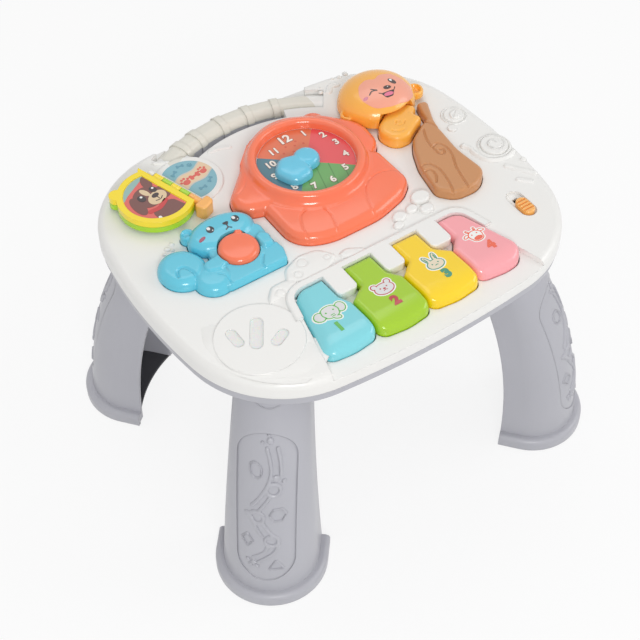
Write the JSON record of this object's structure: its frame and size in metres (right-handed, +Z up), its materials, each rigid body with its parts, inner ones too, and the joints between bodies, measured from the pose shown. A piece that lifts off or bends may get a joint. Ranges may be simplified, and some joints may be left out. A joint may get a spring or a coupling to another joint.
{
  "type": "musical activity table",
  "caption": "Toddler's musical activity table on curved legs, with piano keys, a clock pointer, press-in figures, a small leaf book and a slide switch.",
  "frame": {"origin": "on the floor, under the middle of the box round the feet", "axes": "+Z up; +X to the right of a child who sits at the piano keys; +Y away from the child"},
  "size_m": [0.3954, 0.3416, 0.2745],
  "materials": {
    "white_plastic": "satin moulded",
    "grey_plastic": "satin moulded",
    "sole_rubber": "matt",
    "zinc_steel": "zinc plated",
    "plated_brass": "nickel plated",
    "battery_wrap": "printed sleeve",
    "black_plastic": "moulded",
    "board_green": "solder mask",
    "pad_rubber": "silicone",
    "cyan_plastic": "polished",
    "green_plastic": "polished",
    "yellow_plastic": "polished",
    "pink_plastic": "polished",
    "coral_plastic": "polished",
    "dial_print": "printed under clear lacquer",
    "blue_plastic": "polished",
    "squirrel_blue": "polished",
    "orange_plastic": "polished",
    "brown_plastic": "polished",
    "lime_plastic": "polished",
    "bright_yellow_plastic": "polished",
    "amber_plastic": "polished",
    "frosted_plastic": "translucent white"
  },
  "bodies": {
    "table": {"batteries": "battery_wrap", "battery_contacts": "plated_brass", "battery_door": "grey_plastic", "battery_door_screw": "zinc_steel", "bear_cover": "coral_plastic", "bottom_shell": "grey_plastic", "circuit_board": "board_green", "clock_dial": "dial_print", "hinge_cap": "amber_plastic", "key_board": "board_green", "key_pads": "pad_rubber", "key_rod": "zinc_steel", "leg_back_left": "grey_plastic", "leg_back_right": "grey_plastic", "leg_front_left": "grey_plastic", "leg_front_right": "grey_plastic", "light_board": "board_green", "light_windows": "frosted_plastic", "monkey_hand": "orange_plastic", "monkey_spring": "zinc_steel", "nut_spring": "zinc_steel", "page_rod": "zinc_steel", "shell_screws": "zinc_steel", "sole_pad_back_left": "sole_rubber", "sole_pad_back_right": "sole_rubber", "sole_pad_front_left": "sole_rubber", "sole_pad_front_right": "sole_rubber", "speaker": "black_plastic", "squirrel_cover": "squirrel_blue", "switch_body": "black_plastic", "top_shell": "white_plastic", "tree_trunk": "brown_plastic"},
    "key_cyan": {"key_cyan": "cyan_plastic"},
    "key_green": {"key_green": "green_plastic"},
    "key_yellow": {"key_yellow": "yellow_plastic"},
    "key_pink": {"key_pink": "pink_plastic"},
    "clock_pointer": {"clock_knob": "blue_plastic", "clock_spindle": "zinc_steel", "clock_washer": "zinc_steel"},
    "nut_button": {"nut_button": "coral_plastic"},
    "monkey_head": {"monkey_head": "orange_plastic"},
    "leaf_green": {"page_green": "lime_plastic"},
    "leaf_yellow": {"page_yellow": "bright_yellow_plastic"},
    "switch_slider": {"switch_slider": "amber_plastic"}
  },
  "joints": [
    {"name": "key_cyan_press", "type": "hinge", "parent": "table", "child": "key_cyan", "pos_m": [0, -0.0615, 0.2425], "axis": [1, 0, 0], "range_deg": [0, 3.5], "stiffness_Nm_per_rad": 1, "springref_deg": -1.72},
    {"name": "key_green_press", "type": "hinge", "parent": "table", "child": "key_green", "pos_m": [0, -0.0615, 0.2425], "axis": [1, 0, 0], "range_deg": [0, 3.5], "stiffness_Nm_per_rad": 1, "springref_deg": -1.72},
    {"name": "key_yellow_press", "type": "hinge", "parent": "table", "child": "key_yellow", "pos_m": [0, -0.0615, 0.2425], "axis": [1, 0, 0], "range_deg": [0, 3.5], "stiffness_Nm_per_rad": 1, "springref_deg": -1.72},
    {"name": "key_pink_press", "type": "hinge", "parent": "table", "child": "key_pink", "pos_m": [0, -0.0615, 0.2425], "axis": [1, 0, 0], "range_deg": [0, 3.5], "stiffness_Nm_per_rad": 1, "springref_deg": -1.72},
    {"name": "nut_press", "type": "slide", "parent": "table", "child": "nut_button", "axis": [0, 0, -1], "range_m": [0, 0.003], "stiffness_N_per_m": 400, "springref_m": -0.002, "deforming": ["nut_spring"]},
    {"name": "monkey_press", "type": "slide", "parent": "table", "child": "monkey_head", "axis": [0, 0, -1], "range_m": [0, 0.003], "stiffness_N_per_m": 600, "springref_m": -0.003, "deforming": ["monkey_spring"]},
    {"name": "clock_turn", "type": "hinge", "parent": "table", "child": "clock_pointer", "pos_m": [0.011, 0.057, 0.2593], "axis": [0, 0, 1], "continuous": true},
    {"name": "leaf_green_turn", "type": "hinge", "parent": "table", "child": "leaf_green", "pos_m": [-0.099, 0.099, 0.25485], "axis": [-0.3057, 0.9521, 0], "range_deg": [0, 178]},
    {"name": "leaf_yellow_turn", "type": "hinge", "parent": "leaf_green", "child": "leaf_yellow", "pos_m": [-0.099, 0.099, 0.25485], "axis": [-0.3057, 0.9521, 0], "range_deg": [0, 178]},
    {"name": "switch_slide", "type": "slide", "parent": "table", "child": "switch_slider", "axis": [0, 1, 0], "range_m": [0, 0.01]}
  ]
}
